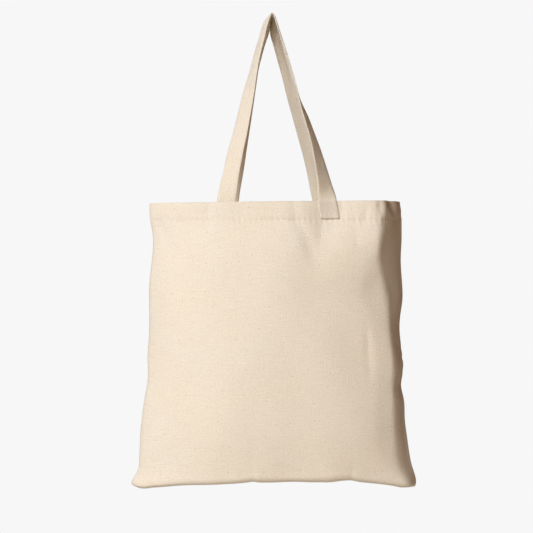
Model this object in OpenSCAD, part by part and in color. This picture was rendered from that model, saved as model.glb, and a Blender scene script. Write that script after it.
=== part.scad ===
// A plain cotton canvas tote bag, hung from its two handles and softly filled.
// Two panels are sewn at the sides and the bottom, turned, and hemmed at the mouth.
// The frame: +Z is up, -Y is the front, +X is the right side seen from the front.
// The origin is the point where a hook bears on the underside of the handles.

/* [Bag] */
// Width across the open mouth
mouth_w = 338; // [320:1:350]
// Width along the bottom seam, which lies flat
base_w = 381; // [370:1:390]
// Height from the rim to the middle of the bottom seam
bag_h = 377; // [350:1:400]
// How much lower the bottom corners hang than the middle
corner_drop = 9; // [0:1:15]
// Depth from front to back at the mouth
mouth_depth = 100; // [80:2:110]
// Depth from front to back where the bag is fullest
belly_depth = 136; // [120:2:150]
// How far the middle of the bag hangs to the right of the hook
bag_offset = 4; // [-8:1:8]

/* [Cloth] */
// Thickness of one layer of canvas
cloth_t = 0.8; // [0.6:0.1:1]
// Depth of the turned hem at the mouth
hem_d = 25; // [20:1:30]
// Width of the overlocked seam allowances inside
allowance_w = 9; // [7:1:10]
// Thickness of the sewing thread
thread_t = 0.5; // [0.4:0.1:0.6]

/* [Handles] */
// Width of the webbing strap
strap_w = 25.4; // [22:0.2:28]
// Thickness of the webbing strap
strap_t = 2; // [1.6:0.2:2.4]
// Height of the hook above the rim
handle_rise = 252; // [230:2:270]
// Distance between the middles of the front handle's two ends
front_spacing = 136; // [120:2:150]
// How far the front handle's ends stand to the right of the hook
front_shift = 7; // [0:1:10]
// Distance between the middles of the back handle's two ends
back_spacing = 128; // [110:2:150]
// How far the back handle's ends stand to the right of the hook
back_shift = 6; // [0:1:10]
// Radius of the bend where a strap lies over the hook
bend_r = 3; // [3:0.5:5]

/* [Hidden] */

CANVAS = [0.93, 0.86, 0.74];
WEBBING = [0.91, 0.84, 0.71];
THREAD = [0.96, 0.92, 0.83];
FRONT = -1;
BACK = 1;
LEFT = -1;
RIGHT = 1;
UP = [0, 0, 1];

rim_z = -handle_rise;
hem_f = hem_d / bag_h;
gap = 0.3;                                // air between two layers that lie on each other
facing_out = -gap - cloth_t;              // the hem facing's inner side, from the panel's inner side
OUTSIDE = cloth_t + gap;                  // the inner side of a strap end sewn outside the hem
INSIDE = facing_out - gap - strap_t;      // and of one sewn inside the mouth

// The share of the way from the mouth's half width to the base's, at shares of the height.
left_side = [[0, 0], [0.14, -0.26], [0.3, 0.02], [0.55, 0.04], [0.76, 0.48], [0.92, 0.66], [1, 1]];
right_side = [[0, 0], [0.3, 0.06], [0.42, -0.1], [0.58, 0.07], [0.66, -0.05], [0.76, 0.19], [1, 1]];
// Half the depth at the middle of the bag, at shares of the height.
side_profile = [
    [0, mouth_depth / 2], [0.3, 0.45 * belly_depth], [0.6, belly_depth / 2],
    [0.8, belly_depth / 2], [0.92, 0.46 * belly_depth], [0.97, 0.36 * belly_depth], [1, gap / 2]
];

// Each leg of a handle: [where its end is sewn, where that end lies on the hem, how late it twists].
front_legs = [
    [front_shift - front_spacing / 2, INSIDE, 1.2],
    [front_shift + front_spacing / 2, OUTSIDE, 2.8]
];
back_legs = [
    [back_shift - back_spacing / 2, OUTSIDE, 1.2],
    [back_shift + back_spacing / 2, INSIDE, 1.3]
];

// ---- curves and meshes ----

function steps(a, b, n) = [for (i = [0:n]) a + (b - a) * i / n];
function unit(v) = v / norm(v);
function joined(rows) = [for (row = rows) for (p = row) p];

// The slope at point i of the list p of [place, value] pairs.
function slope(p, i) =
    let (a = max(i - 1, 0), b = min(i + 1, len(p) - 1)) (p[b][1] - p[a][1]) / (p[b][0] - p[a][0]);

// The value at x of a smooth curve through p.
function curve(p, x, i = 0) =
    i < len(p) - 2 && x > p[i + 1][0] ? curve(p, x, i + 1) :
    let (w = p[i + 1][0] - p[i][0], t = (x - p[i][0]) / w, s = t * t * (3 - 2 * t))
    p[i][1] * (1 - s) + p[i + 1][1] * s
        + w * t * (1 - t) * (slope(p, i) * (1 - t) - slope(p, i + 1) * t);

// Triangles over a grid of rows by columns, whose first point is number `at`.
function grid_faces(rows, columns, at, flip) = [
    for (i = [0:rows - 2]) for (j = [0:columns - 2])
        let (a = at + i * columns + j, b = a + 1, c = a + columns, d = c + 1)
        for (f = flip ? [[a, b, c], [b, d, c]] : [[a, c, b], [b, c, d]]) f
];

// The wall round the edge of a grid, from its points to the same ones `at` places on.
function wall_faces(rows, columns, at) =
    let (edge = concat(
            [for (j = [0:columns - 1]) j],
            [for (i = [1:rows - 1]) i * columns + columns - 1],
            [for (j = [columns - 2:-1:0]) (rows - 1) * columns + j],
            [for (i = [rows - 2:-1:1]) i * columns]),
        n = len(edge))
    [for (k = [0:n - 1])
        let (a = edge[k], b = edge[(k + 1) % n])
        for (f = [[a, b, a + at], [b, b + at, a + at]]) f];

// A closed sheet between two grids of points.
module sheet(outer, inner) {
    rows = len(outer);
    columns = len(outer[0]);
    count = rows * columns;
    polyhedron(
        concat(joined(outer), joined(inner)),
        concat(
            grid_faces(rows, columns, 0, false),
            grid_faces(rows, columns, count, true),
            wall_faces(rows, columns, count)));
}

// A closed tube through rings of points.
module tube(rings) {
    n = len(rings[0]);
    last = len(rings) - 1;
    polyhedron(joined(rings), concat(
        [for (i = [0:last - 1]) for (j = [0:n - 1])
            let (a = i * n + j, b = i * n + (j + 1) % n)
            for (f = [[a, b, a + n], [b, b + n, a + n]]) f],
        [[for (j = [n - 1:-1:0]) j], [for (j = [0:n - 1]) last * n + j]]));
}

// A square thread along the points of path.
module thread(path) {
    last = len(path) - 1;
    tube([for (i = [0:last])
        let (along = unit(path[min(i + 1, last)] - path[max(i - 1, 0)]),
            a = unit(cross(along, [0, 1, 0])) * thread_t / 2,
            b = unit(cross(along, a)) * thread_t / 2)
        [path[i] - a - b, path[i] + a - b, path[i] + a + b, path[i] - a + b]]);
}

// ---- the bag's surface ----
// u runs from -1 at the left seam to 1 at the right one, and f from 0 at the rim to 1 at the bottom.

function half_width(u, f) =
    (mouth_w + (base_w - mouth_w) * curve(u < 0 ? left_side : right_side, f)) / 2;
function half_depth(u, f) =
    gap / 2 + (curve(side_profile, f) - gap / 2) * pow(max(0, 1 - pow(abs(u), 2.5)), 0.75);
function bag_x(u, f) = bag_offset + u * half_width(u, f);
function bag_z(u, f) = rim_z - f * (bag_h + corner_drop * u * u);
function rim_u(x) = (x - bag_offset) / (mouth_w / 2);

// A point `out` outside the inner side of the panel on one side of the bag.
function bag_point(u, f, side, out) = [bag_x(u, f), side * (half_depth(u, f) + out), bag_z(u, f)];

// Part of the bag's surface, as a layer from `from` to `to` outside the panel's inner side.
module layer(side, us, fs, from, to) {
    near = side == FRONT ? to : from;
    far = side == FRONT ? from : to;
    sheet(
        [for (f = fs) [for (u = us) bag_point(u, f, side, near)]],
        [for (f = fs) [for (u = us) bag_point(u, f, side, far)]]);
}

// Columns that crowd towards the side seams, where the cloth curves most.
columns = 20;
seam_to_seam = [for (i = [0:columns]) -cos(180 * i / columns)];
between_seams = [for (i = [1:columns - 1]) seam_to_seam[i]];
// Rows that crowd towards the bottom seam.
below_hem = [for (i = [1:16]) hem_f + (1 - hem_f) * sin(90 * i / 16)];

module panel(side) color(CANVAS)
    layer(side, seam_to_seam, concat(steps(0, hem_f, 2), below_hem), 0, cloth_t);

// The cloth that is turned in at the mouth, against the panel's inside.
module hem_facing(side) color(CANVAS)
    layer(side, between_seams, steps(0, hem_f, 2), facing_out, -gap);

module hem_thread(side) color(THREAD)
    thread([for (u = steps(-0.95, 0.95, 36)) bag_point(u, hem_f, side, cloth_t + gap + thread_t / 2)]);

// ---- seam allowances ----
// Both panels' edges stand in from a seam together, two layers thick, and thread binds them.

first_way = 3;                            // from the seam to where the allowance is free of the panels
last_way = first_way + allowance_w;
thread_way = last_way + gap + thread_t;

function side_way(dir, f, way, y) = [bag_x(dir, f) - dir * way, y, bag_z(dir, f)];
function bottom_way(u, way, y) = [bag_x(u, 1), y, bag_z(u, 1) + way];

module side_allowance(dir) color(CANVAS) {
    fs = steps(hem_f * 1.3, 0.94, 14);
    sheet(
        [for (f = fs) [for (w = [first_way, last_way]) side_way(dir, f, w, -cloth_t * dir)]],
        [for (f = fs) [for (w = [first_way, last_way]) side_way(dir, f, w, cloth_t * dir)]]);
}

module side_allowance_thread(dir) color(THREAD)
    thread([for (f = steps(hem_f * 1.4, 0.93, 14)) side_way(dir, f, thread_way, 0)]);

module bottom_allowance() color(CANVAS) {
    us = steps(-0.84, 0.84, 16);
    sheet(
        [for (w = [first_way, last_way]) [for (u = us) bottom_way(u, w, cloth_t)]],
        [for (w = [first_way, last_way]) [for (u = us) bottom_way(u, w, -cloth_t)]]);
}

module bottom_allowance_thread() color(THREAD)
    thread([for (u = steps(-0.83, 0.83, 16)) bottom_way(u, thread_way, 0)]);

// ---- handles ----
// A handle swings about a line along X, just outside the rim. Its two sewn ends stay on the bag.

end_l = hem_d - 1.5;                      // how far a sewn end reaches below the rim
strap_y = strap_w / 2 + 0.5;              // the two straps lie side by side on the hook
arc_r = bend_r + strap_t / 2;
leg_n = 18;
arc_n = 8;

function foot_y(leg) = half_depth(rim_u(leg[0]), 0) + leg[1] + strap_t / 2;
function lean(leg) = atan2(abs(leg[0]), handle_rise);

// The middle of a leg, from the hook at t = 0 to the rim at t = 1.
function leg_point(leg, dir, t) =
    let (a = lean(leg), from = [dir * arc_r * cos(a), arc_r * sin(a) - bend_r], bow = 5 * sin(180 * sqrt(t)))
    [from[0] + (leg[0] - from[0]) * t + dir * bow,
        -(strap_y + (foot_y(leg) - strap_y) * t),
        from[1] + (rim_z + gap - from[1]) * t];

// How far the strap is twisted there: it lies flat over the hook and faces forward at its end.
function leg_twist(leg, t) = 90 * (1 - pow(t, leg[2]));

// Stations along the strap, from the left end to the right one: [middle, twist].
function stations(legs) = concat(
    [for (i = [leg_n:-1:0]) [leg_point(legs[0], LEFT, i / leg_n), leg_twist(legs[0], i / leg_n)]],
    [for (i = [1:arc_n - 1])
        let (a = lean(legs[0]) - 90 + (180 - lean(legs[0]) - lean(legs[1])) * i / arc_n)
        [[arc_r * sin(a), -strap_y, arc_r * cos(a) - bend_r], 90]],
    [for (i = [0:leg_n]) [leg_point(legs[1], RIGHT, i / leg_n), leg_twist(legs[1], i / leg_n)]]);

// Both ends of the loop are cut level with the rim.
module handle(legs) color(WEBBING) {
    places = stations(legs);
    last = len(places) - 1;
    tube([for (i = [0:last])
        let (p = places[i][0], twist = places[i][1],
            along = i == 0 ? UP : i == last ? -UP : unit(places[i + 1][0] - places[i - 1][0]),
            forward = unit([0, -1, 0] + along.y * along),
            across = forward * sin(twist) + cross(along, forward) * cos(twist),
            w = across * strap_w / 2,
            n = cross(across, along) * strap_t / 2)
        [p - w - n, p - w + n, p + w + n, p + w - n]]);
}

// Places across the rim from x - half to x + half.
function rim_us(x, half) = steps(rim_u(x - half), rim_u(x + half), 3);

module handle_end(side, leg) color(WEBBING)
    layer(side, rim_us(leg[0], strap_w / 2), steps(0, end_l / bag_h, 2), leg[1], leg[1] + strap_t);

// A box of stitches that holds a sewn end, with a row across its middle.
// The upper thread shows on one face of the layers and the lower thread on the other.
module end_thread(side, leg) color(THREAD) {
    edge = strap_w / 2 - 3;
    rows = [2.5, end_l / 2, end_l - 2.5];
    outer = max(leg[1] + strap_t, cloth_t) + gap;
    inner = min(leg[1], facing_out) - gap - thread_t;
    half = thread_t / 2;
    for (out = [inner, outer]) {
        for (row = rows)
            layer(side, rim_us(leg[0], edge), [(row - half) / bag_h, (row + half) / bag_h],
                out, out + thread_t);
        for (dir = [LEFT, RIGHT])
            layer(side, rim_us(leg[0] + dir * (edge + thread_t), half),
                steps(rows[0] / bag_h, rows[2] / bag_h, 2), out, out + thread_t);
    }
}

panel(FRONT);  // front_panel
panel(BACK);  // back_panel
hem_facing(FRONT);  // front_hem_facing
hem_facing(BACK);  // back_hem_facing
side_allowance(LEFT);  // left_seam_allowance
side_allowance(RIGHT);  // right_seam_allowance
bottom_allowance();  // bottom_seam_allowance
hem_thread(FRONT);  // front_hem_thread
hem_thread(BACK);  // back_hem_thread
side_allowance_thread(LEFT);  // left_seam_thread
side_allowance_thread(RIGHT);  // right_seam_thread
bottom_allowance_thread();  // bottom_seam_thread
handle(front_legs);  // front_handle
mirror([0, 1, 0]) handle(back_legs);  // back_handle
handle_end(FRONT, front_legs[0]);  // front_handle_left_end
handle_end(FRONT, front_legs[1]);  // front_handle_right_end
handle_end(BACK, back_legs[0]);  // back_handle_left_end
handle_end(BACK, back_legs[1]);  // back_handle_right_end
end_thread(FRONT, front_legs[0]);  // front_left_end_thread
end_thread(FRONT, front_legs[1]);  // front_right_end_thread
end_thread(BACK, back_legs[0]);  // back_left_end_thread
end_thread(BACK, back_legs[1]);  // back_right_end_thread
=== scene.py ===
"""A natural cotton tote bag, softly filled, that hangs from its two handles in a pale studio."""
import math

import bmesh
import bpy
import mathutils
import numpy as np
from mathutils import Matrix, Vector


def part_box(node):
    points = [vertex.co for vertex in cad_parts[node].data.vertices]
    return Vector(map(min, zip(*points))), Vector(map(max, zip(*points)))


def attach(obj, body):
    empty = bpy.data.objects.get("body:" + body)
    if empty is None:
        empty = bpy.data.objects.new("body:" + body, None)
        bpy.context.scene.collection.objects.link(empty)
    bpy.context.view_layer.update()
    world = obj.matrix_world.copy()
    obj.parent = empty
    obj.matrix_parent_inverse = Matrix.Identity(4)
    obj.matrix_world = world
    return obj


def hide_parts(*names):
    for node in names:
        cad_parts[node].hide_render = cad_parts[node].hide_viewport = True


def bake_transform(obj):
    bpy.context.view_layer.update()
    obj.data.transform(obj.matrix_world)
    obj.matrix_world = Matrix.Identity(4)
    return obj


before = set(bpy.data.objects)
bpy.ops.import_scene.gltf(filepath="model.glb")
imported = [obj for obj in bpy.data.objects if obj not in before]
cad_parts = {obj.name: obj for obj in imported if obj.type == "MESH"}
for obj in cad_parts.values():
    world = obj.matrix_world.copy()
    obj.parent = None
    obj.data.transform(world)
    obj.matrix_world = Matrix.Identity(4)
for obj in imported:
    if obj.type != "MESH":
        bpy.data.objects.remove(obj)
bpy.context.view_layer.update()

MM = 0.001
FRONT, BACK = -1, 1

# ---- the bag's measures, in millimetres in the part's frame ----
RIM_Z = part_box("front_panel")[1][2] / MM
RIM_DROP = 1.4                  # how far the rim's middle lies below RIM_Z
RIM_TILT = 1.5                  # how much higher the rim is at its right corner than in its middle
PANEL_H = 400                   # a panel's length from rim to bottom seam, roughly
HEM_D = 25                      # depth of the turned hem
CLOTH_T = 0.8                   # one layer of canvas
LAYER_GAP = 0.15                # air between layers that lie on each other
TOUCH_GAP = 0.05                # air between pieces that are sewn together
THREAD_R = 0.24                 # radius of the sewing thread
CUT_W, CUT_H = 381, 431         # a panel's cut size, with its hem
STRAP_W, STRAP_T = 25.4, 1.9

# ---- the grids and the simulation ----
ROW_STEPS, COLUMN_STEPS = 400, 600      # fine steps, from which the even rows and columns are found
SIM_COLUMNS, SIM_ROWS = 71, 75
FINE_COLUMNS, FINE_ROWS = 181, 191
SETTLE_FRAMES = 24
SEAM_HOLD = 0.35                # how firmly the simulated cloth is held along its seams
RIPPLE = 3                      # height of the unevenness that the simulation starts from
RIPPLE_WAVES = 14
RIPPLE_SEEDS = {FRONT: 5, BACK: 8}
MOST_SETTLING = 4               # the furthest that the simulation moves a point

# The side seams' slow lines, which the filled bag is built between: (share of the height, x).
LEFT_LINE = [(0, -166), (0.15, -162), (0.5, -166), (0.7, -172), (0.92, -179.5), (1, -187)]
RIGHT_LINE = [(0, 173), (0.2, 175), (0.45, 173.5), (0.65, 175.5), (0.8, 180), (0.92, 187), (1, 193)]
# The same seams with their small waves and the pulled-out bottom corners.
LEFT_EDGE = [
    (0, -164.6), (0.06, -164), (0.12, -159.8), (0.21, -161.6), (0.28, -164.8), (0.36, -165),
    (0.45, -165), (0.55, -167.2), (0.62, -166.6), (0.7, -171.6), (0.8, -176.3), (0.9, -178),
    (0.945, -179), (0.96, -180.6), (0.973, -187.5), (0.988, -189), (1, -186),
]
RIGHT_EDGE = [
    (0, 172.6), (0.035, 174.9), (0.07, 175.2), (0.13, 175.4), (0.2, 174), (0.3, 176.3),
    (0.34, 176.8), (0.4, 173.4), (0.44, 172.2), (0.5, 174), (0.6, 177), (0.65, 173.4),
    (0.69, 177.6), (0.77, 178.6), (0.84, 182), (0.9, 185), (0.94, 188.6), (0.975, 193.4),
    (1, 191.5),
]
# The bottom seam, as (x, z) pairs.
BOTTOM_EDGE = [
    (-187, -634), (-178, -637.4), (-158, -635.8), (-125, -632.4), (-50, -629.6), (-27, -626.6),
    (0, -627.6), (50, -627.8), (78, -625.8), (100, -624.2), (120, -628.2), (160, -633.6),
    (180, -636.6), (193, -635),
]
# Half the bag's depth at its middle, at shares of the height.
DEPTH = [(0, 51.5), (0.06, 52), (0.15, 57), (0.35, 62), (0.6, 65), (0.82, 62.8), (1, 53.5)]
BOTTOM_TURN = 0.02              # the share of the height over which the bottom turns under
SEAM_SHIFT = 16                 # how far behind the bag's middle the right seam lies at the rim
# Where the flat front turns into the bag's right side, from 0 at the middle to 1 at the seam, at
# shares of the height.
RIGHT_TURN = [
    (0, 0.84), (0.1, 0.84), (0.2, 0.838), (0.35, 0.915), (0.5, 0.951), (0.8, 0.947), (0.92, 0.93),
    (1, 0.965),
]


# ---- curves and grids ----

def smooth(x, start, end):
    """0 before start, 1 after end, and a soft step between them."""
    t = np.clip((x - start) / (end - start), 0, 1)
    return t * t * (3 - 2 * t)


def curve(points, x):
    """A smooth curve through points, each a (place, value) pair."""
    places, values = np.array(points, float).T
    slopes = np.gradient(values, places)
    i = np.clip(np.searchsorted(places, x) - 1, 0, len(places) - 2)
    width = places[i + 1] - places[i]
    t = np.clip((x - places[i]) / width, 0, 1)
    step = t * t * (3 - 2 * t)
    bend = slopes[i] * (1 - t) - slopes[i + 1] * t
    return values[i] * (1 - step) + values[i + 1] * step + width * t * (1 - t) * bend


def unit(v):
    """v, or each row of v, with a length of 1."""
    return v / np.maximum(np.linalg.norm(v, axis=-1, keepdims=True), 1e-12)


def lengths(path):
    """The length along a path from its start to each of its points."""
    return np.concatenate([[0], np.cumsum(np.linalg.norm(np.diff(path, axis=0), axis=1))])


def even(path, count):
    """count places in path's own numbering that are evenly spaced along it."""
    length = lengths(path)
    return np.interp(np.linspace(0, length[-1], count), length, np.arange(len(path)))


def even_out(values, times=2):
    """Values averaged with their neighbours down the rows, so that only their slow part is left."""
    for _ in range(times):
        padded = np.concatenate([values[:1], values, values[-1:]])
        values = (padded[:-2] + 2 * values + padded[2:]) / 4
    return values


def rows_at(grid, places):
    """The grid's rows at fractional places, on a smooth curve through the whole ones."""
    last = len(grid) - 1
    i = np.clip(np.floor(places).astype(int), 0, last - 1)
    t = (places - i).reshape(-1, *[1] * (grid.ndim - 1))
    p0, p1, p2, p3 = (grid[np.clip(i + k, 0, last)] for k in (-1, 0, 1, 2))
    bend = 2 * p0 - 5 * p1 + 4 * p2 - p3 + t * (3 * (p1 - p2) + p3 - p0)
    return p1 + 0.5 * t * (p2 - p0 + t * bend)


def sample(grid, rows, columns):
    """The grid's points at fractional rows and columns, on a smooth surface through them."""
    return rows_at(rows_at(grid, rows).swapaxes(0, 1), columns).swapaxes(0, 1)


def vectors_at(x, places, vectors):
    """The vectors that belong to places, found at x between them."""
    return np.stack([np.interp(x, places, vectors[:, k]) for k in range(3)], axis=-1)


def normals(grid):
    """Unit normals of a grid whose rows run down and whose columns run right, seen from outside."""
    return unit(np.cross(np.gradient(grid, axis=0), np.gradient(grid, axis=1)))


def outward(side, grid):
    """Unit normals of one side's grid that point out of the bag."""
    return normals(grid) * -side


def quads(numbers):
    """The faces of a grid whose points have these numbers."""
    corners = [numbers[:-1, :-1], numbers[1:, :-1], numbers[1:, 1:], numbers[:-1, 1:]]
    return np.stack(corners, axis=-1).reshape(-1, 4)


def cloth_uv(across, down):
    """Places on the flat cloth, in metres, for a grid with these columns and rows in millimetres."""
    return np.stack(np.broadcast_arrays(across[None] * MM, down[:, None] * MM), axis=-1)


# ---- the filled bag ----

def round_side(u, f):
    """The depth's share towards the left seam, which lies on the bag's outline."""
    fullness = 2.1 + 0.3 * smooth(f, 0.1, 0.5)
    return (1 - np.abs(u) ** fullness) ** 0.75


def boxy_side(u, f):
    """The depth's share towards the right seam: a flat front up to an edge, then back to the seam."""
    edge = curve(RIGHT_TURN, f)
    sharp = 9 - 5.5 * smooth(f, 0.15, 0.35)
    reach = np.maximum((1 - u) / (1 - edge), 1e-3)
    front = 1 - 0.42 * smooth(f, 0.12, 0.35) * u ** 2
    return front * (1 + reach ** -sharp) ** (-1 / sharp)


def turned_under(u, f):
    """The depth's share near the bottom seam, where the cloth turns under. The right corner is softer."""
    corner = smooth(u, 0.88, 0.97)
    turn = np.clip((f - 1) / (BOTTOM_TURN * (1 - 0.35 * corner)) + 1, 0, 1)
    return (1 - turn ** (2.5 - 1.4 * corner)) ** (0.4 + 0.6 * corner)


def bag_point(side, u, f):
    """The bag's surface before it is simulated.

    u is -1 at the left seam and 1 at the right one. f is 0 at the rim and 1 at the bottom seam.
    """
    left, right = curve(LEFT_LINE, f), curve(RIGHT_LINE, f)
    x = left + (u + 1) / 2 * (right - left)
    rim = RIM_Z - RIM_DROP + RIM_TILT * u
    left_corner, right_corner = LEFT_LINE[-1][1], RIGHT_LINE[-1][1]
    bottom = curve(BOTTOM_EDGE, left_corner + (u + 1) / 2 * (right_corner - left_corner))
    z = rim + f * (bottom - rim)
    to_seam = np.where(u < 0, round_side(u, f), boxy_side(u, f))
    depth = curve(DEPTH, f) * turned_under(u, f) * to_seam
    beside = smooth(u, curve(RIGHT_TURN, f) - 0.04, 1)
    seam_shift = SEAM_SHIFT * beside * (1 - smooth(f, 0.5, 0.95))
    return np.stack(np.broadcast_arrays(x, side * depth + seam_shift, z), axis=-1)


def bag_grid(side):
    """The surface as a grid with evenly spaced rows and columns."""
    f = np.linspace(0, 1, ROW_STEPS)
    fs = np.interp(even(bag_point(side, 0.0, f), SIM_ROWS), np.arange(ROW_STEPS), f)
    u = np.linspace(-1, 1, COLUMN_STEPS)
    rows = []
    for f in fs:
        path = bag_point(side, u, f)
        us = np.interp(even(path, SIM_COLUMNS), np.arange(COLUMN_STEPS), u)
        rows.append(bag_point(side, us, f))
    return np.array(rows)


def ripple(grid, seed):
    """Slow unevenness, from -1 to 1, in waves that cross each other."""
    rng = np.random.default_rng(seed)
    x, z = grid[..., 0], grid[..., 2]
    total = np.zeros(x.shape)
    for _ in range(RIPPLE_WAVES):
        length = rng.uniform(45, 160)
        angle = rng.normal(0, 0.45)
        phase = rng.uniform(0, 2 * math.pi)
        total += np.sin(2 * math.pi * (x * math.cos(angle) + z * math.sin(angle)) / length + phase)
    return total / RIPPLE_WAVES


def rippled(side, grid):
    """The grid, slightly uneven away from its rim and seams, so that the cloth has somewhere to fold."""
    free = np.zeros((SIM_ROWS, SIM_COLUMNS))
    free[4:-1, 1:-1] = 1
    height = RIPPLE * free * ripple(grid, RIPPLE_SEEDS[side])
    return grid + outward(side, grid) * height[..., None]


def sewn_mesh(grids):
    """Both panels as one mesh that shares its points along the seams, and each panel's point numbers."""
    shared = np.zeros((SIM_ROWS, SIM_COLUMNS), bool)
    shared[:, [0, -1]] = True
    shared[-1] = True
    count = SIM_ROWS * SIM_COLUMNS
    ids = {FRONT: np.arange(count).reshape(shared.shape)}
    ids[BACK] = ids[FRONT].copy()
    ids[BACK][~shared] = count + np.arange((~shared).sum())
    points = np.concatenate([grids[FRONT].reshape(-1, 3), grids[BACK][~shared]]) * MM
    faces = quads(ids[FRONT]).tolist() + quads(ids[BACK])[:, ::-1].tolist()
    mesh = bpy.data.meshes.new("settling")
    mesh.from_pydata(points.tolist(), [], faces)
    ob = bpy.data.objects.new("settling", mesh)
    bpy.context.scene.collection.objects.link(ob)
    return ob, ids


def hold_weights():
    """How firmly a panel's points are held in the simulation: most at the rim, and some at the seams."""
    rows = np.arange(SIM_ROWS)[:, None] + np.zeros(SIM_COLUMNS)
    hem_rows = HEM_D / PANEL_H * SIM_ROWS
    weight = 1 - 0.75 * smooth(rows, 0, hem_rows) - 0.25 * smooth(rows, hem_rows, hem_rows * 2)
    weight[:, [0, -1]] = np.maximum(weight[:, [0, -1]], SEAM_HOLD)
    weight[-1] = SEAM_HOLD
    return weight


def settle(grids):
    """Lets Blender's cloth relax both panels together, sewn along the sides and the bottom."""
    ob, ids = sewn_mesh(grids)
    hold = ob.vertex_groups.new(name="hold")
    weight = hold_weights()
    for side in (FRONT, BACK):
        for i, w in zip(ids[side].ravel().tolist(), weight.ravel().tolist()):
            if w > 0.01:
                hold.add([i], w, "REPLACE")

    cloth = ob.modifiers.new("cloth", "CLOTH")
    s = cloth.settings
    s.quality = 5
    s.mass = 0.004
    s.tension_stiffness = 40
    s.compression_stiffness = 40
    s.shear_stiffness = 12
    s.bending_stiffness = 4
    s.air_damping = 2
    s.vertex_group_mass = "hold"
    s.pin_stiffness = 1
    s.shrink_min = -0.006
    s.use_pressure = True
    s.uniform_pressure_force = 4
    s.effector_weights.gravity = 0.4
    cloth.point_cache.frame_end = SETTLE_FRAMES
    scene = bpy.context.scene
    for step in range(1, SETTLE_FRAMES + 1):
        scene.frame_set(step)

    evaluated = ob.evaluated_get(bpy.context.evaluated_depsgraph_get())
    settled = np.empty(len(ob.data.vertices) * 3)
    evaluated.to_mesh().vertices.foreach_get("co", settled)
    settled = settled.reshape(-1, 3) / MM
    evaluated.to_mesh_clear()
    bpy.data.objects.remove(ob)
    scene.frame_set(1)
    return {side: settled[ids[side]] for side in (FRONT, BACK)}


def calm(settled, start, times=9):
    """Keeps the slow part of what the simulation did inside a panel, and at most MOST_SETTLING of it."""
    rows = np.linspace(0, 1, SIM_ROWS)[:, None, None]
    move = settled - start
    for _ in range(times):
        beside = move[:-2, 1:-1] + move[2:, 1:-1] + move[1:-1, :-2] + move[1:-1, 2:]
        move[1:-1, 1:-1] = (4 * move[1:-1, 1:-1] + beside) / 8
    length = np.linalg.norm(move, axis=-1, keepdims=True)
    fade = 0.5 - 0.45 * smooth(rows, 0.7, 0.9)
    kept = np.minimum(1, MOST_SETTLING / np.maximum(length, 1e-9)) * fade
    return start + move * kept


def hold_outline(grid, target):
    """Slides the cloth so that its seams lie on their real lines. The middle of the panel stays."""
    u = np.linspace(-1, 1, grid.shape[1])[None]
    f = (RIM_Z - grid[..., 2]) / (RIM_Z - target[-1, :, 2])[None]
    left = even_out(curve(LEFT_EDGE, f[:, :1]) - grid[:, :1, 0])
    right = even_out(curve(RIGHT_EDGE, f[:, -1:]) - grid[:, -1:, 0])
    grid = grid.copy()
    grid[..., 0] += left * smooth(-u, 0.5, 1) + right * smooth(u, 0.5, 1)
    drop = np.linspace(0, 1, grid.shape[0])[:, None, None] ** 3
    return grid + (target[-1:] - grid[-1:]) * drop


# ---- folds and the hem ----

# A fold is (x, z at its top, z at its bottom, how far x moves on the way down, half width, height).
# A groove's height is negative.
FOLDS = {
    FRONT: [
        (-84, -250, -300, -2, 5, -1.3), (-62, -254, -279, 0, 13, 0.9), (30, -236, -400, 3, 42, 4.6),
        (29, -254, -300, 2, 6, -1.0), (35, -276, -346, 26, 8, -1.4), (86, -238, -350, -30, 24, -5),
        (66, -254, -330, -3, 4, -0.6), (93, -250, -277, 0, 3, -0.6), (109, -272, -330, 5, 4, -0.5),
        (134, -250, -330, 2, 18, 1.2), (141, -248, -276, 3, 3, -1.8), (149, -250, -282, -5, 4, 1.9),
        (157, -248, -274, 5, 4, -2.2), (165, -248, -278, 0, 4, 1.6), (126, -262, -290, -7, 4, -1.1),
        (126, -425, -500, 4, 5, -0.9), (154, -262, -296, 7, 7, 2.2), (151, -300, -345, -5, 8, -1.8),
        (-152, -275, -320, 14, 6, -1.2), (-27, -606, -640, 3, 4, -0.6),
        (-18, -606, -640, 2, 6, 0.5), (106, -604, -640, 1, 4, -0.6), (-60, -600, -640, -4, 8, -0.4),
        (60, -596, -640, 3, 8, -0.5),
    ],
    BACK: [
        (-60, -252, -330, 5, 7, -1.6), (-40, -256, -320, 9, 9, 1.2), (36, -252, -300, -3, 8, -1.4),
        (70, -254, -279, 0, 13, 0.9), (110, -256, -330, 8, 7, 1.2), (-120, -256, -310, -5, 7, 1.1),
        (-96, -300, -430, 16, 16, 1.6), (12, -330, -470, -14, 22, -1.8),
        (118, -380, -520, 10, 14, 1.5), (-30, -480, -600, 12, 18, -1.5),
        (20, -600, -640, 2, 4, -1.2), (-90, -600, -640, -3, 4, -1.2), (70, -590, -640, -3, 7, -0.8),
        (-140, -560, -640, -8, 9, 1.0),
    ],
}
HEM_RISE = 0.7                  # how far the hem's two layers stand out
GROOVE_D, GROOVE_HALF = 0.9, 1.6        # the groove that the hem's stitches pull
PUCKER_TURN = 1.9               # how far the puckers' wave turns from one column to the next
PUCKER_HALF = 6                 # how far the puckers reach above and below the stitches


def fold_height(side, x, z):
    """How far one side's folds lift the cloth at x and z."""
    total = np.zeros(x.shape)
    for at, top, bottom, lean, half, height in FOLDS[side]:
        share = (top - z) / (top - bottom)
        across = (x - at - lean * np.clip(share, 0, 1)) / half
        fade = smooth(share, -0.25, 0.2) * (1 - smooth(share, 0.45, 1.1))
        total += height * np.exp(-across ** 2) * fade
    return total


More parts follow.
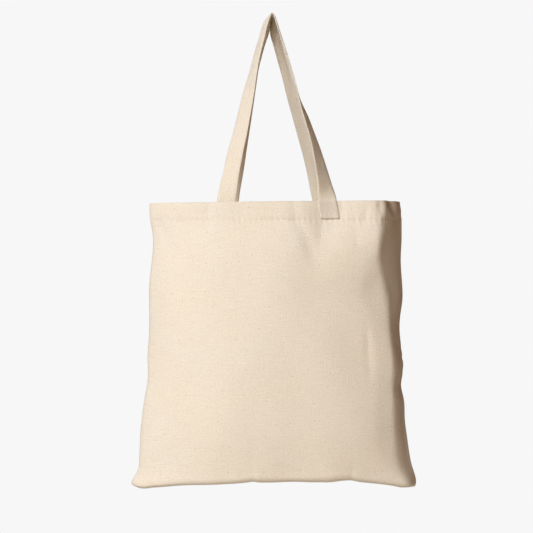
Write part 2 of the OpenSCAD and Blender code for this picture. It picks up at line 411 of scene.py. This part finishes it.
def hem_height(columns, depth):
    """How far the hem lifts the cloth. Its stitches pull a groove, and puckers that grow to the right."""
    rise = HEM_RISE * (1 - smooth(depth, HEM_D - 1, HEM_D + 4))
    groove = GROOVE_D * np.exp(-((depth - HEM_D) / GROOVE_HALF) ** 2)
    pull = 0.4 + 0.6 * smooth(np.linspace(0, 1, columns), 0.78, 0.9)
    wave = np.sin(np.arange(columns) * PUCKER_TURN)
    pucker = pull * wave * np.exp(-((depth - HEM_D) / PUCKER_HALF) ** 2)
    return rise - groove + pucker


def fine_grid(side, settled):
    """The settled cloth on a finer grid, with its folds and hem, which fade towards the seams."""
    rows = np.linspace(0, SIM_ROWS - 1, FINE_ROWS)
    columns = np.linspace(0, SIM_COLUMNS - 1, FINE_COLUMNS)
    grid = sample(settled, rows, columns)
    depth = RIM_Z - grid[..., 2]
    height = fold_height(side, grid[..., 0], grid[..., 2]) + hem_height(FINE_COLUMNS, depth)
    across = np.arange(FINE_COLUMNS)
    from_bottom = np.arange(FINE_ROWS)[::-1, None]
    fade = smooth(np.minimum(across, across[::-1]), 0, 7) * smooth(from_bottom, 0, 5)
    return grid + outward(side, grid) * (height * fade)[..., None]


# ---- meshes ----

def mesh_object(name, points, faces, uvs):
    """A mesh piece from points in millimetres. uvs holds one (u, v) pair in metres for each point."""
    mesh = bpy.data.meshes.new(name)
    mesh.from_pydata((np.asarray(points) * MM).tolist(), [], faces)
    corners = np.empty(len(mesh.loops), int)
    mesh.loops.foreach_get("vertex_index", corners)
    mesh.uv_layers.new(name="Cloth").data.foreach_set("uv", np.asarray(uvs)[corners].ravel())
    mesh.polygons.foreach_set("use_smooth", [True] * len(mesh.polygons))
    piece = bpy.data.objects.new(name, mesh)
    bpy.context.scene.collection.objects.link(piece)
    return piece


def shell(name, middle, out, thickness, uv):
    """A closed sheet of cloth round the grid middle. out holds its normals."""
    rows, columns = middle.shape[:2]
    count = rows * columns
    half = out * np.asarray(thickness) / 2
    points = np.concatenate([(middle + half).reshape(-1, 3), (middle - half).reshape(-1, 3)])
    n = np.arange(count).reshape(rows, columns)
    near = quads(n)
    edge = np.concatenate([n[0], n[1:, -1], n[-1, -2::-1], n[-2:0:-1, 0]])
    wall = np.stack([edge, np.roll(edge, -1), np.roll(edge, -1) + count, edge + count], axis=-1)
    faces = np.concatenate([near, near[:, ::-1] + count, wall])
    if (normals(middle)[1:-1, 1:-1] * out[1:-1, 1:-1]).sum() < 0:
        faces = faces[:, ::-1]
    return mesh_object(name, points, faces.tolist(), np.concatenate([uv.reshape(-1, 2)] * 2))


def tubes(name, paths, radius, sides=6):
    """Closed round tubes, one along each path. Their ends are narrower."""
    points, faces, uvs = [], [], []
    ring = np.linspace(0, 2 * math.pi, sides, endpoint=False)
    start = 0
    for path in paths:
        along = unit(np.gradient(path, axis=0))
        a = unit(np.cross(along, [0.3, 0.1, 0.95]))
        b = np.cross(along, a)
        taper = np.ones(len(path))
        taper[[0, -1]] = 0.45
        around = a[:, None] * np.cos(ring)[:, None] + b[:, None] * np.sin(ring)[:, None]
        points.append((path[:, None] + radius * taper[:, None, None] * around).reshape(-1, 3))
        uvs.append(cloth_uv(ring * radius, lengths(path)).reshape(-1, 2))
        n = start + np.arange(len(path) * sides).reshape(len(path), sides)
        m = np.roll(n, -1, axis=1)
        faces += np.stack([n[:-1], m[:-1], m[1:], n[1:]], axis=-1).reshape(-1, 4).tolist()
        faces += [n[0, ::-1].tolist(), n[-1].tolist()]
        start += len(path) * sides
    return mesh_object(name, np.concatenate(points), faces, np.concatenate(uvs))


def dress(piece, slot, *nodes):
    """Gives a piece the material of its slot and hides the CAD nodes that it stands for."""
    piece.data.materials.append(MATERIALS[slot])
    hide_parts(*nodes)
    return piece


# ---- panels ----

SEAM_LIP = 3                    # how far a panel's edge goes in at a seam, against the other panel's
RIM_STEPS = 4                   # rows over the hem's fold at the rim


def with_lips(grid, side):
    """The panel's grid with its edges turned in at the side seams and the bottom one."""
    apart = side * (CLOTH_T / 2 + TOUCH_GAP)

    def lip(edge, inward):
        first = edge + np.array([0, apart * 0.8, 0]) + inward * 0.5
        second = edge + np.array([0, apart, 0]) + inward * SEAM_LIP
        return first, second

    left = lip(grid[:, :1], np.array([1.0, 0, 0]))
    right = lip(grid[:, -1:], np.array([-1.0, 0, 0]))
    grid = np.concatenate([left[1], left[0], grid, right[0], right[1]], axis=1)
    bottom = lip(grid[-1:], np.array([0, 0, 1.0]))
    return np.concatenate([grid, bottom[0], bottom[1]])


def with_hem(grid, side):
    """The panel's grid with its top turned in, and the number of the row at the rim.

    Its rows go up inside the mouth, over a fold at the rim and down outside.
    """
    out = outward(side, grid)
    back = CLOTH_T + LAYER_GAP
    depth = grid[0, :, 2].mean() - grid[:, grid.shape[1] // 2, 2]
    facing = (grid - out * back)[:np.searchsorted(depth, HEM_D)][::-1]
    turns = np.linspace(math.pi, 0, RIM_STEPS + 2)[1:-1, None, None]
    over = out[:1] * (np.cos(turns) - 1) + np.array([0, 0, 1]) * np.sin(turns)
    fold = grid[:1] + back / 2 * over
    return np.concatenate([facing, fold, grid]), len(facing) + RIM_STEPS


def panel(side, name, grid, *nodes):
    """One panel's cloth with its turned hem."""
    grid, rim_row = with_hem(with_lips(grid, side), side)
    rows, columns = grid.shape[:2]
    u = np.linspace(0, CUT_W, columns)
    v = (rim_row - np.arange(rows)) * (CUT_H / rows)
    piece = shell(name, grid, outward(side, grid), CLOTH_T, cloth_uv(u, v))
    return dress(piece, "canvas", *nodes)


# ---- stitching ----

STITCH = 2.7                    # a stitch's length
STITCH_PITCH = 3.3              # from the start of one stitch to the next
STITCH_RISE = (-0.5, 0.05, 0.2, 0.05, -0.5)     # a stitch's thread, from the cloth's surface
HEM_ROW_D = HEM_D - 2           # how far below the rim the hem's stitches run
HEM_INNER = -1.5 * CLOTH_T - LAYER_GAP  # the facing's inner side, from the middle of the outer layer
HEM_OUTER = CLOTH_T / 2


def stitches(line, out):
    """Paths of single stitches along line. Each lies on the surface and dips into it at both ends."""
    length = lengths(line)
    rise = np.array(STITCH_RISE)[:, None]
    paths = []
    for start in np.arange(0.4, length[-1] - STITCH, STITCH_PITCH):
        places = np.linspace(start, start + STITCH, len(rise))
        paths.append(vectors_at(places, length, line) + vectors_at(places, length, out) * rise)
    return paths


def on_hem(grid, values, depth, xs):
    """values of the grid at a depth below the rim, at places xs across it."""
    middle = grid[:, grid.shape[1] // 2, 2]
    row = np.array([np.interp(depth, middle[0] - middle, np.arange(len(middle)))])
    return vectors_at(xs, rows_at(grid, row)[0][:, 0], rows_at(values, row)[0])


def hem_stitches(side, name, grid, node):
    """The row of stitches that holds the hem, as it shows outside and on the facing."""
    out = outward(side, grid)
    xs = np.linspace(grid[0, 3, 0], grid[0, -4, 0], 240)
    line, up = on_hem(grid, grid, HEM_ROW_D, xs), on_hem(grid, out, HEM_ROW_D, xs)
    paths = stitches(line + up * HEM_OUTER, up) + stitches(line + up * HEM_INNER, -up)
    return dress(tubes(name, paths, THREAD_R), "thread", node)


# ---- seam allowances ----

ALLOWANCE_W = 9
ALLOWANCE_GAP = 0.3             # from a panel's lip to the allowance beside it
OVERLOCK_PITCH = 2.4
OVERLOCK_W = 3.5                # how far the overlocked thread reaches in from the raw edge


def allowance_cloth(name, seam, wave, inward, node):
    """Both panels' edges inside a seam, two layers thick, which wave more towards their raw edge."""
    ways = np.linspace(SEAM_LIP + ALLOWANCE_GAP, SEAM_LIP + ALLOWANCE_W, 5)
    share = ((ways - ways[0]) / (ways[-1] - ways[0]))[None, :, None]
    bend = np.array([0, 1.0, 0]) * wave[:, None, None] * share
    grid = seam[:, None] + inward * ways[None, :, None] + bend
    thickness = 2 * CLOTH_T + TOUCH_GAP
    piece = shell(name, grid, normals(grid), thickness, cloth_uv(ways, lengths(seam)))
    return dress(piece, "canvas", node)


def overlock(name, seam, wave, inward, node):
    """One thread that winds round the raw edge of a seam's allowance, four points to a turn."""
    steps = int(lengths(seam)[-1] / OVERLOCK_PITCH) * 4
    at = np.linspace(0, len(seam) - 1.001, steps)
    turn = np.arange(steps) % 4
    near, far = ALLOWANCE_W - OVERLOCK_W, ALLOWANCE_W + 0.4
    across = np.array([near, far, near, far])[turn] + SEAM_LIP
    over = np.array([1, 0, -1, 0])[turn] * (CLOTH_T + THREAD_R)
    edge_share = (across - SEAM_LIP - ALLOWANCE_GAP) / (ALLOWANCE_W - ALLOWANCE_GAP)
    path = rows_at(seam, at) + inward * across[:, None]
    path[:, 1] += over + rows_at(wave[:, None], at)[:, 0] * edge_share
    return dress(tubes(name, [path], THREAD_R, 5), "thread", node)


# ---- straps ----
# A strap is one length of webbing. Its middle runs through points, (x, z), from its left end over
# the hook to its right one. twists holds (share of the way from the hook to the rim, degrees) for
# its left leg and for its right one: at 90 the strap is edge on to the front, and at 0 it faces
# forward. ends says which side of the hem each end is sewn on, and slants how far its foot leans.

INSIDE, OUTSIDE = "inside", "outside"
STRAPS = {
    FRONT: dict(
        points=[
            (-61, -252), (-58.8, -240), (-49.3, -190), (-41.5, -157), (-31, -106), (-21, -58),
            (-14.5, -33), (-11, -19), (-8, -10), (-3.6, -3), (0, 0), (3.6, -5), (7.8, -18),
            (17.3, -49), (28.8, -89), (36.9, -116), (47.5, -146), (58.2, -180), (67, -217),
            (71.5, -240), (73, -252),
        ],
        twists=(
            [
                (0, 90), (0.05, 77), (0.1, 74), (0.23, 70), (0.33, 65), (0.41, 56), (0.52, 49),
                (0.62, 44), (0.75, 36), (0.88, 29), (0.97, 10), (1, 0),
            ],
            [
                (0, 90), (0.45, 88), (0.54, 77), (0.67, 70), (0.8, 57), (0.86, 50), (0.92, 40),
                (0.97, 22), (1, 5),
            ]),
        ends=(INSIDE, OUTSIDE),
        slants=(0, 4)),
    BACK: dict(
        points=[
            (-58, -252), (-56.5, -240), (-39.2, -169), (-27.4, -109), (-22.4, -82), (-17.8, -58),
            (-13, -38), (-7, -20), (-2.4, -6), (0, 0), (2, -5), (4.2, -21), (9.4, -37), (15, -56),
            (21.8, -80), (30, -113), (43, -158), (49.5, -180), (57, -206), (64, -231), (70, -252),
        ],
        twists=(
            [
                (0, 88), (0.08, 79), (0.2, 80), (0.3, 84), (0.37, 80), (0.5, 73), (0.63, 66),
                (0.71, 59), (0.79, 47), (0.86, 37), (0.94, 22), (1, 0),
            ],
            [
                (0, 90), (0.05, 72), (0.085, 62), (0.15, 58), (0.32, 55), (0.63, 52), (0.82, 42),
                (0.91, 25), (0.97, 8), (1, 0),
            ]),
        ends=(OUTSIDE, INSIDE),
        slants=(0, 0)),
}
HOOK_Y = STRAP_W / 2 + 0.5      # from the bag's middle to the middle of a strap on the hook
END_L = 22.5                    # a sewn end's length
FACE_COLUMNS = 13
PATH_STEPS = 1500               # fine steps along a strap, from which its even rows are found
LOOP_ROWS = 260
SEWN_DEPTHS = np.linspace(0.5, END_L, 11)
PRESSED = 0.7                   # a sewn end's thickness, as a share of the strap's
CUP = 0.8                       # how far a strap's middle bows out beyond its edges near the hook
STITCH_INSET = 3                # from a sewn end's sides to its stitches
STITCH_MARGIN = 2.5             # from a sewn end's top and bottom to its stitches


def strap_offset(end):
    """From the middle of the hem's outer layer to the middle of a sewn strap end."""
    if end == OUTSIDE:
        return HEM_OUTER + TOUCH_GAP + STRAP_T / 2 * PRESSED
    return HEM_INNER - TOUCH_GAP - STRAP_T / 2 * PRESSED


def sewn_rows(side, x, end, slant, grid):
    """Rows of points across a sewn end, down from the rim."""
    out = outward(side, grid)
    rows = []
    for depth in SEWN_DEPTHS:
        xs = x + slant * depth / END_L + np.linspace(-1, 1, FACE_COLUMNS) * STRAP_W / 2
        rows.append(on_hem(grid, grid, depth, xs) + on_hem(grid, out, depth, xs) * strap_offset(end))
    return np.array(rows)


def strap_path(side, points, feet):
    """A strap's middle line between its sewn ends, over the hook, at LOOP_ROWS even places."""
    middle = np.array([(x, 0, z) for x, z in points], float)
    for i, foot in zip((0, -1), feet):
        middle[i] = foot[0, FACE_COLUMNS // 2]
    on_left = np.arange(len(middle)) < int(np.argmax(middle[:, 2]))
    foot_y = np.where(on_left, middle[0, 1], middle[-1, 1])
    down = middle[:, 2] / np.where(on_left, middle[0, 2], middle[-1, 2])
    middle[:, 1] = side * HOOK_Y + (foot_y - side * HOOK_Y) * down
    fine = rows_at(middle, np.linspace(0, len(middle) - 1, PATH_STEPS))
    return rows_at(fine, even(fine, LOOP_ROWS))


def strap_faces(side, path, twist):
    """At each place of a strap's path, the way that its face looks and the way across it."""
    travel = unit(np.gradient(path, axis=0))
    edge_on = np.cross(travel, [0, 1, 0])
    face = edge_on * np.sin(twist) + np.array([0, side, 0]) * np.cos(twist)
    face = unit(face - np.einsum("ij,ij->i", face, travel)[:, None] * travel)
    return face, np.cross(face, travel)


def strap_rows(side, shape, grid):
    """Rows of points across a whole strap, from its left end over the hook to its right one."""
    feet = [sewn_rows(side, shape["points"][i][0], end, slant, grid)
            for i, end, slant in zip((0, -1), shape["ends"], shape["slants"])]
    path = strap_path(side, shape["points"], feet)
    top = int(np.argmax(path[:, 2]))
    number = np.arange(LOOP_ROWS)
    left_share, right_share = (top - number) / top, (number - top) / (LOOP_ROWS - 1 - top)
    left_twist, right_twist = shape["twists"]
    twist = np.where(number < top, curve(left_twist, left_share), curve(right_twist, right_share))
    face, width = strap_faces(side, path, np.radians(even_out(twist, 3))[:, None])
    share = np.maximum(left_share, right_share)
    cup = CUP * (1 - smooth(share, 0.1, 0.55)) * smooth(share, 0, 0.04)
    s = np.linspace(-1, 1, FACE_COLUMNS)[None, :, None]
    bow = face[:, None] * cup[:, None, None] * (s ** 2 - 0.35)
    loop = path[:, None] + width[:, None] * s * STRAP_W / 2 - bow
    # A foot's points run the same way across as the loop's beside it.
    left, right = (foot if (foot[0, -1, 0] - foot[0, 0, 0]) * w[0] > 0 else foot[:, ::-1]
                   for foot, w in zip(feet, (width[2], width[-3])))
    return np.concatenate([left[::-1], loop[1:-1], right])


def strap(side, name, grid, body, *nodes):
    """One whole strap, from one end sewn on the hem, over the hook, to the other. body is not used."""
    rows = strap_rows(side, STRAPS[side], grid)
    from_end = np.minimum(np.arange(len(rows)), np.arange(len(rows))[::-1])
    loose = smooth(from_end, len(SEWN_DEPTHS) - 3, len(SEWN_DEPTHS) + 3)
    pressed = PRESSED + (1 - PRESSED) * loose
    edge = 1 - 0.5 * np.abs(np.linspace(-1, 1, FACE_COLUMNS)) ** 6
    thickness = STRAP_T * pressed[:, None, None] * edge[None, :, None]
    length = lengths(rows[:, FACE_COLUMNS // 2])
    uv = cloth_uv(np.linspace(0, STRAP_W, FACE_COLUMNS), length)
    piece = dress(shell(name, rows, -normals(rows), thickness, uv), "webbing", *nodes)
    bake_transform(piece)
    return piece


def end_stitches(side, x, end, slant, name, grid, node):
    """A box of stitches through the hem and a sewn strap end, with a row across its middle."""
    out = outward(side, grid)
    half = STRAP_W / 2 - STITCH_INSET
    rows = (STITCH_MARGIN, END_L / 2, END_L - STITCH_MARGIN)
    lines = [[(d, s) for s in np.linspace(-half, half, 12)] for d in rows]
    lines += [[(d, s) for d in np.linspace(rows[0], rows[-1], 12)] for s in (-half, half)]
    outer = max(strap_offset(end) + STRAP_T / 2 * PRESSED, HEM_OUTER)
    inner = min(strap_offset(end) - STRAP_T / 2 * PRESSED, HEM_INNER)
    paths = []
    for line in lines:
        places = [(d, np.array([x + slant * d / END_L + s])) for d, s in line]
        at = np.array([on_hem(grid, grid, d, p)[0] for d, p in places])
        up = np.array([on_hem(grid, out, d, p)[0] for d, p in places])
        paths += stitches(at + up * outer, up) + stitches(at + up * inner, -up)
    return dress(tubes(name, paths, THREAD_R), "thread", node)


# ---- materials ----

CANVAS_WARM, CANVAS_COOL = (0.862, 0.792, 0.665, 1), (0.857, 0.8, 0.69, 1)
WEBBING_WARM, WEBBING_COOL = (0.95, 0.858, 0.715, 1), (0.945, 0.86, 0.735, 1)
SEED = (0.42, 0.26, 0.13, 1)
PALE_FLECK = (1.0, 0.93, 0.8, 1)
THREAD = (0.9, 0.83, 0.71, 1)
CANVAS_PITCH = (0.00062, 0.00066)       # metres from one thread to the next, across and along
WEBBING_PITCH = (0.00105, 0.0009)
THREAD_TWIST = 0.0006


class Nodes:
    """Short calls for building a material's nodes."""

    def __init__(self, name):
        self.material = bpy.data.materials.new(name)
        self.material.use_nodes = True
        self.tree = self.material.node_tree
        self.shader = self.tree.nodes["Principled BSDF"]

    def add(self, kind, inputs=(), **settings):
        node = self.tree.nodes.new("ShaderNode" + kind)
        for key, value in settings.items():
            setattr(node, key, value)
        for key, value in dict(inputs).items():
            self.put(node.inputs[key], value)
        return node

    def put(self, socket, value):
        if isinstance(value, bpy.types.NodeSocket):
            self.tree.links.new(value, socket)
        else:
            socket.default_value = value

    def surface(self, values):
        """Sets the shader's sockets, which values names. The material is returned."""
        for name, value in values.items():
            self.put(self.shader.inputs[name], value)
        return self.material

    def math(self, operation, *values):
        return self.add("Math", dict(enumerate(values)), operation=operation).outputs[0]

    def product(self, first, *others):
        for value in others:
            first = self.math("MULTIPLY", first, value)
        return first

    def mix(self, share, a, b, blend="MIX"):
        node = self.add("Mix", {0: share, 6: a, 7: b}, data_type="RGBA", blend_type=blend)
        return node.outputs[2]

    def toned(self, color, tone):
        """color with its brightness multiplied by tone."""
        grey = self.add("CombineColor", {0: tone, 1: tone, 2: tone}).outputs[0]
        return self.mix(1.0, color, grey, "MULTIPLY")

    def spread(self, value, low, high, to_low, to_high):
        """value from low..high brought to to_low..to_high."""
        inputs = {0: value, 1: low, 2: high, 3: to_low, 4: to_high}
        return self.add("MapRange", inputs).outputs[0]

    def noise(self, where, scale, detail=2):
        return self.add("TexNoise", {"Vector": where, "Scale": scale, "Detail": detail}).outputs[0]

    def stretched(self, where, scale):
        return self.add("Mapping", {"Vector": where, "Scale": scale}).outputs[0]

    def bump(self, height, strength, distance):
        inputs = {"Height": height, "Strength": strength, "Distance": distance}
        return self.add("Bump", inputs).outputs[0]


def woven(n, u, v, pitch):
    """The height of a plain weave, from 0 to 1, whose threads are pitch apart along u and v."""
    def threads(across, along, own_pitch, other_pitch, first):
        place = n.math("DIVIDE", across, own_pitch)
        number = n.math("FLOOR", place)
        within = n.math("SUBTRACT", n.math("SUBTRACT", place, number), 0.5)
        profile = n.math("SUBTRACT", 1, n.math("MULTIPLY", n.math("MULTIPLY", within, within), 3.4))
        turns = n.math("ADD", n.math("DIVIDE", along, other_pitch), n.math("ADD", number, first))
        wave = n.math("COSINE", n.math("MULTIPLY", turns, math.pi))
        return n.math("MULTIPLY", profile, n.math("MULTIPLY_ADD", wave, 0.3, 0.7))

    pitch_u, pitch_v = pitch
    return n.math("MAXIMUM", threads(u, v, pitch_u, pitch_v, 0.0), threads(v, u, pitch_v, pitch_u, 1.0))


def flecks(n, where, scale, radius, share):
    """Small specks, one in each cell of a Voronoi pattern, in a share of the cells."""
    inputs = {"Vector": where, "Scale": scale, "Randomness": 1.0}
    cells = n.add("TexVoronoi", inputs, voronoi_dimensions="2D")
    spot = n.spread(cells.outputs["Distance"], radius * 0.5, radius, 1, 0)
    red = n.add("SeparateColor", {0: cells.outputs["Color"]}).outputs[0]
    return n.math("MULTIPLY", spot, n.math("LESS_THAN", red, share))


def make_canvas():
    """Unbleached plain-weave cotton with uneven threads, small knots and seed specks."""
    n = Nodes("natural_canvas")
    uv = n.add("UVMap", uv_map="Cloth").outputs[0]
    wobble = n.add("CombineXYZ", {0: n.spread(n.noise(uv, 260), 0, 1, -0.0002, 0.0002)}).outputs[0]
    bent = n.add("VectorMath", {0: uv, 1: wobble}, operation="ADD").outputs[0]
    u, v, _ = n.add("SeparateXYZ", {0: bent}).outputs
    weave = woven(n, u, v, CANVAS_PITCH)
    grain = n.noise(uv, 900, 3)
    weft = n.noise(n.stretched(uv, (45, 1300, 1)), 1, 2)
    warp = n.noise(n.stretched(uv, (1400, 38, 1)), 1, 2)
    knots = n.noise(uv, 420, 1)
    patches = n.spread(n.noise(uv, 14, 3), 0.35, 0.65, 0, 1)

    tone = n.product(
        n.spread(grain, 0.3, 0.7, 0.94, 1.04),
        n.spread(weft, 0.3, 0.7, 0.965, 1.03),
        n.spread(knots, 0.3, 0.7, 0.95, 1.035),
        n.spread(warp, 0.3, 0.7, 0.97, 1.025),
        n.spread(weave, 0.2, 0.8, 0.93, 1.03))
    color = n.toned(n.mix(patches, CANVAS_WARM, CANVAS_COOL), tone)
    seeds = n.math("MAXIMUM", flecks(n, uv, 70, 0.055, 0.3), flecks(n, uv, 140, 0.05, 0.12))
    color = n.mix(n.math("MULTIPLY", seeds, 0.5), color, SEED)
    pale = flecks(n, n.stretched(uv, (1, 2.2, 1)), 60, 0.045, 0.25)
    color = n.mix(n.math("MULTIPLY", pale, 0.5), color, PALE_FLECK)

    threads = n.math("ADD", n.math("MULTIPLY", weft, 0.5), grain)
    height = n.math("ADD", n.math("MULTIPLY", weave, 0.5), threads)
    height = n.math("ADD", height, n.math("MULTIPLY", knots, 1.2))
    return n.surface({
        "Base Color": color,
        "Normal": n.bump(height, 0.6, 0.0005),
        "Roughness": n.spread(grain, 0.3, 0.7, 0.88, 0.98),
        "Specular IOR Level": 0.15,
        "Sheen Weight": 0.08,
        "Sheen Roughness": 0.5,
    })


def make_webbing():
    """Cotton webbing: a coarser weave than the canvas, soft enough for light to enter it."""
    n = Nodes("cotton_webbing")
    uv = n.add("UVMap", uv_map="Cloth").outputs[0]
    u, v, _ = n.add("SeparateXYZ", {0: uv}).outputs
    weave = woven(n, u, v, WEBBING_PITCH)
    grain = n.noise(uv, 700, 3)
    slub = n.noise(n.stretched(uv, (900, 60, 1)), 1, 2)
    knots = n.noise(uv, 520, 1)
    patches = n.spread(n.noise(uv, 25, 2), 0.35, 0.65, 0, 1)

    tone = n.product(
        n.spread(grain, 0.3, 0.7, 0.95, 1.04),
        n.spread(slub, 0.3, 0.7, 0.96, 1.03),
        n.spread(weave, 0.1, 0.8, 0.86, 1.05),
        n.spread(knots, 0.3, 0.7, 0.9, 1.06))
    color = n.toned(n.mix(patches, WEBBING_WARM, WEBBING_COOL), tone)
    color = n.mix(n.math("MULTIPLY", flecks(n, uv, 110, 0.05, 0.25), 0.5), color, SEED)

    height = n.math("ADD", weave, n.math("MULTIPLY", grain, 0.5))
    return n.surface({
        "Base Color": color,
        "Normal": n.bump(height, 0.7, 0.0009),
        "Roughness": n.spread(grain, 0.3, 0.7, 0.85, 0.97),
        "Specular IOR Level": 0.15,
        "Sheen Weight": 0.35,
        "Sheen Roughness": 0.4,
        "Subsurface Weight": 0.35,
        "Subsurface Radius": (1.0, 0.85, 0.7),
        "Subsurface Scale": 0.003,
    })


def make_thread():
    """Twisted cotton sewing thread."""
    n = Nodes("sewing_thread")
    uv = n.add("UVMap", uv_map="Cloth").outputs[0]
    u, v, _ = n.add("SeparateXYZ", {0: uv}).outputs
    turns = n.math("MULTIPLY", n.math("ADD", u, v), 2 * math.pi / THREAD_TWIST)
    twist = n.math("SINE", turns)
    grain = n.noise(uv, 1500, 2)
    tone = n.product(n.spread(twist, -1, 1, 0.9, 1.02), n.spread(grain, 0.3, 0.7, 0.95, 1.03))
    return n.surface({
        "Base Color": n.toned(THREAD, tone),
        "Normal": n.bump(twist, 0.5, 0.00008),
        "Roughness": n.spread(grain, 0.3, 0.7, 0.55, 0.7),
        "Specular IOR Level": 0.3,
    })


# ---- studio ----

BACKGROUND = (0.93, 0.93, 0.93, 1)
AMBIENT, AMBIENT_STRENGTH = (1, 0.33, 0.05, 1), 0.095
FLOOR_Z, FLOOR_R = -0.9, 1.2
FLOOR_WARM, FLOOR_COOL = (0.72, 0.7, 0.66, 1), (0.74, 0.72, 0.68, 1)
LIT_PLACE = (0, 0, -0.4)        # where every light points
# Each light's name, place, size, power in watts and colour.
LIGHTS = [
    ("key", (-1.35, -2.35, 0.95), (2.9, 1.5), 95.5, (1, 0.998, 0.995)),
    ("front_fill", (0.6, -2.95, 0.1), (1.4, 1.4), 7, (1, 0.82, 0.5)),
    ("left_fill", (-2.8, 1.4, 0.3), (1.8, 1.8), 16, (0.9, 0.95, 1)),
    ("back_fill", (-0.3, 2.5, 0.5), (1.6, 1.6), 36, (1, 0.92, 0.8)),
]
CAMERA_PLACE = (-0.0074, -3.0, -0.339)
CAMERA_LENS = 150.3


def add_world():
    """A pale background, and a weak warm light from all round in place of its own."""
    world = bpy.data.worlds.new("studio")
    world.use_nodes = True
    tree = world.node_tree
    seen, ambient = tree.nodes["Background"], tree.nodes.new("ShaderNodeBackground")
    seen.inputs[0].default_value = BACKGROUND
    ambient.inputs[0].default_value = AMBIENT
    ambient.inputs[1].default_value = AMBIENT_STRENGTH
    choice = tree.nodes.new("ShaderNodeMixShader")
    tree.links.new(tree.nodes.new("ShaderNodeLightPath").outputs["Is Camera Ray"], choice.inputs[0])
    tree.links.new(ambient.outputs[0], choice.inputs[1])
    tree.links.new(seen.outputs[0], choice.inputs[2])
    tree.links.new(choice.outputs[0], tree.nodes["World Output"].inputs[0])
    bpy.context.scene.world = world


def add_light(name, place, size, power, color):
    data = bpy.data.lights.new(name, "AREA")
    data.shape = "RECTANGLE"
    data.size, data.size_y = size
    data.energy = power
    data.color = color
    light = bpy.data.objects.new(name, data)
    light.location = place
    aim = mathutils.Vector(LIT_PLACE) - mathutils.Vector(place)
    light.rotation_euler = aim.to_track_quat("-Z", "Y").to_euler()
    bpy.context.scene.collection.objects.link(light)


def add_floor():
    shape = bmesh.new()
    bmesh.ops.create_circle(shape, cap_ends=True, segments=96, radius=FLOOR_R)
    mesh = bpy.data.meshes.new("floor")
    shape.to_mesh(mesh)
    shape.free()
    n = Nodes("pale_floor")
    patches = n.noise(n.add("TexCoord").outputs["Object"], 3, 2)
    mesh.materials.append(n.surface({
        "Base Color": n.mix(patches, FLOOR_WARM, FLOOR_COOL),
        "Roughness": 0.9,
    }))
    floor = bpy.data.objects.new("floor", mesh)
    floor.location = (0, 0, FLOOR_Z)
    bpy.context.scene.collection.objects.link(floor)


def add_camera():
    camera = bpy.data.objects.new("camera", bpy.data.cameras.new("camera"))
    camera.data.lens = CAMERA_LENS
    camera.location = CAMERA_PLACE
    camera.rotation_euler = (math.pi / 2, 0, 0)
    bpy.context.scene.collection.objects.link(camera)
    bpy.context.scene.camera = camera


# ---- the bag ----

SEAM_TOP, SEAM_BOTTOM = 0.09, 0.95      # where the side seams' allowances start and end down the rows
BOTTOM_START, BOTTOM_END = 0.07, 0.93   # the same for the bottom seam, across the columns


def cloth_grids():
    """Both panels' grids, simulated and then given their outline, folds and hems."""
    start = {side: rippled(side, bag_grid(side)) for side in (FRONT, BACK)}
    settled = settle(start)
    grids = {}
    for side in (FRONT, BACK):
        cloth = hold_outline(calm(settled[side], start[side]), start[side])
        grids[side] = fine_grid(side, cloth)
    return grids


def add_side(side, word, grid):
    """One panel with its hem, strap and stitches. The panel's cloth is returned."""
    cloth = panel(side, word + "_panel_cloth", grid, word + "_panel", word + "_hem_facing")
    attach(cloth, "bag")
    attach(hem_stitches(side, word + "_hem_stitches", grid, word + "_hem_thread"), "bag")
    handle = word + "_handle"
    strap(side, word + "_strap", grid, handle, handle, handle + "_left_end", handle + "_right_end")
    shape = STRAPS[side]
    for i, hand in ((0, "left"), (-1, "right")):
        name = f"{word}_{hand}_end"
        x, end, slant = shape["points"][i][0], shape["ends"][i], shape["slants"][i]
        piece = end_stitches(side, x, end, slant, name + "_stitches", grid, name + "_thread")
        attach(piece, "bag")
    return cloth


def add_seam(name, seam, inward):
    """A seam's allowance with its overlocked thread. The allowance's cloth is returned."""
    length = lengths(seam)
    wave = 1.3 * np.sin(length / 31) + 0.6 * np.sin(length / 12 + 1)
    cloth = allowance_cloth(name + "_cloth", seam, wave, inward, name + "_allowance")
    thread = overlock(name + "_overlock", seam, wave, inward, name + "_thread")
    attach(cloth, "bag")
    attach(thread, "bag")
    return cloth


def add_bag():
    grids = cloth_grids()
    front = add_side(FRONT, "front", grids[FRONT])
    back = add_side(BACK, "back", grids[BACK])
    seams = grids[FRONT]
    beside = slice(int(FINE_ROWS * SEAM_TOP), int(FINE_ROWS * SEAM_BOTTOM))
    below = slice(int(FINE_COLUMNS * BOTTOM_START), int(FINE_COLUMNS * BOTTOM_END))
    edges = [
        add_seam("left_seam", seams[beside, 0], np.array([1.0, 0, 0])),
        add_seam("right_seam", seams[beside, -1], np.array([-1.0, 0, 0])),
        add_seam("bottom_seam", seams[-1, below], np.array([0, 0, 1.0])),
    ]


bpy.context.scene.view_settings.view_transform = "Standard"
add_world()
for light in LIGHTS:
    add_light(*light)
add_floor()
add_camera()
MATERIALS = {"canvas": make_canvas(), "webbing": make_webbing(), "thread": make_thread()}
add_bag()
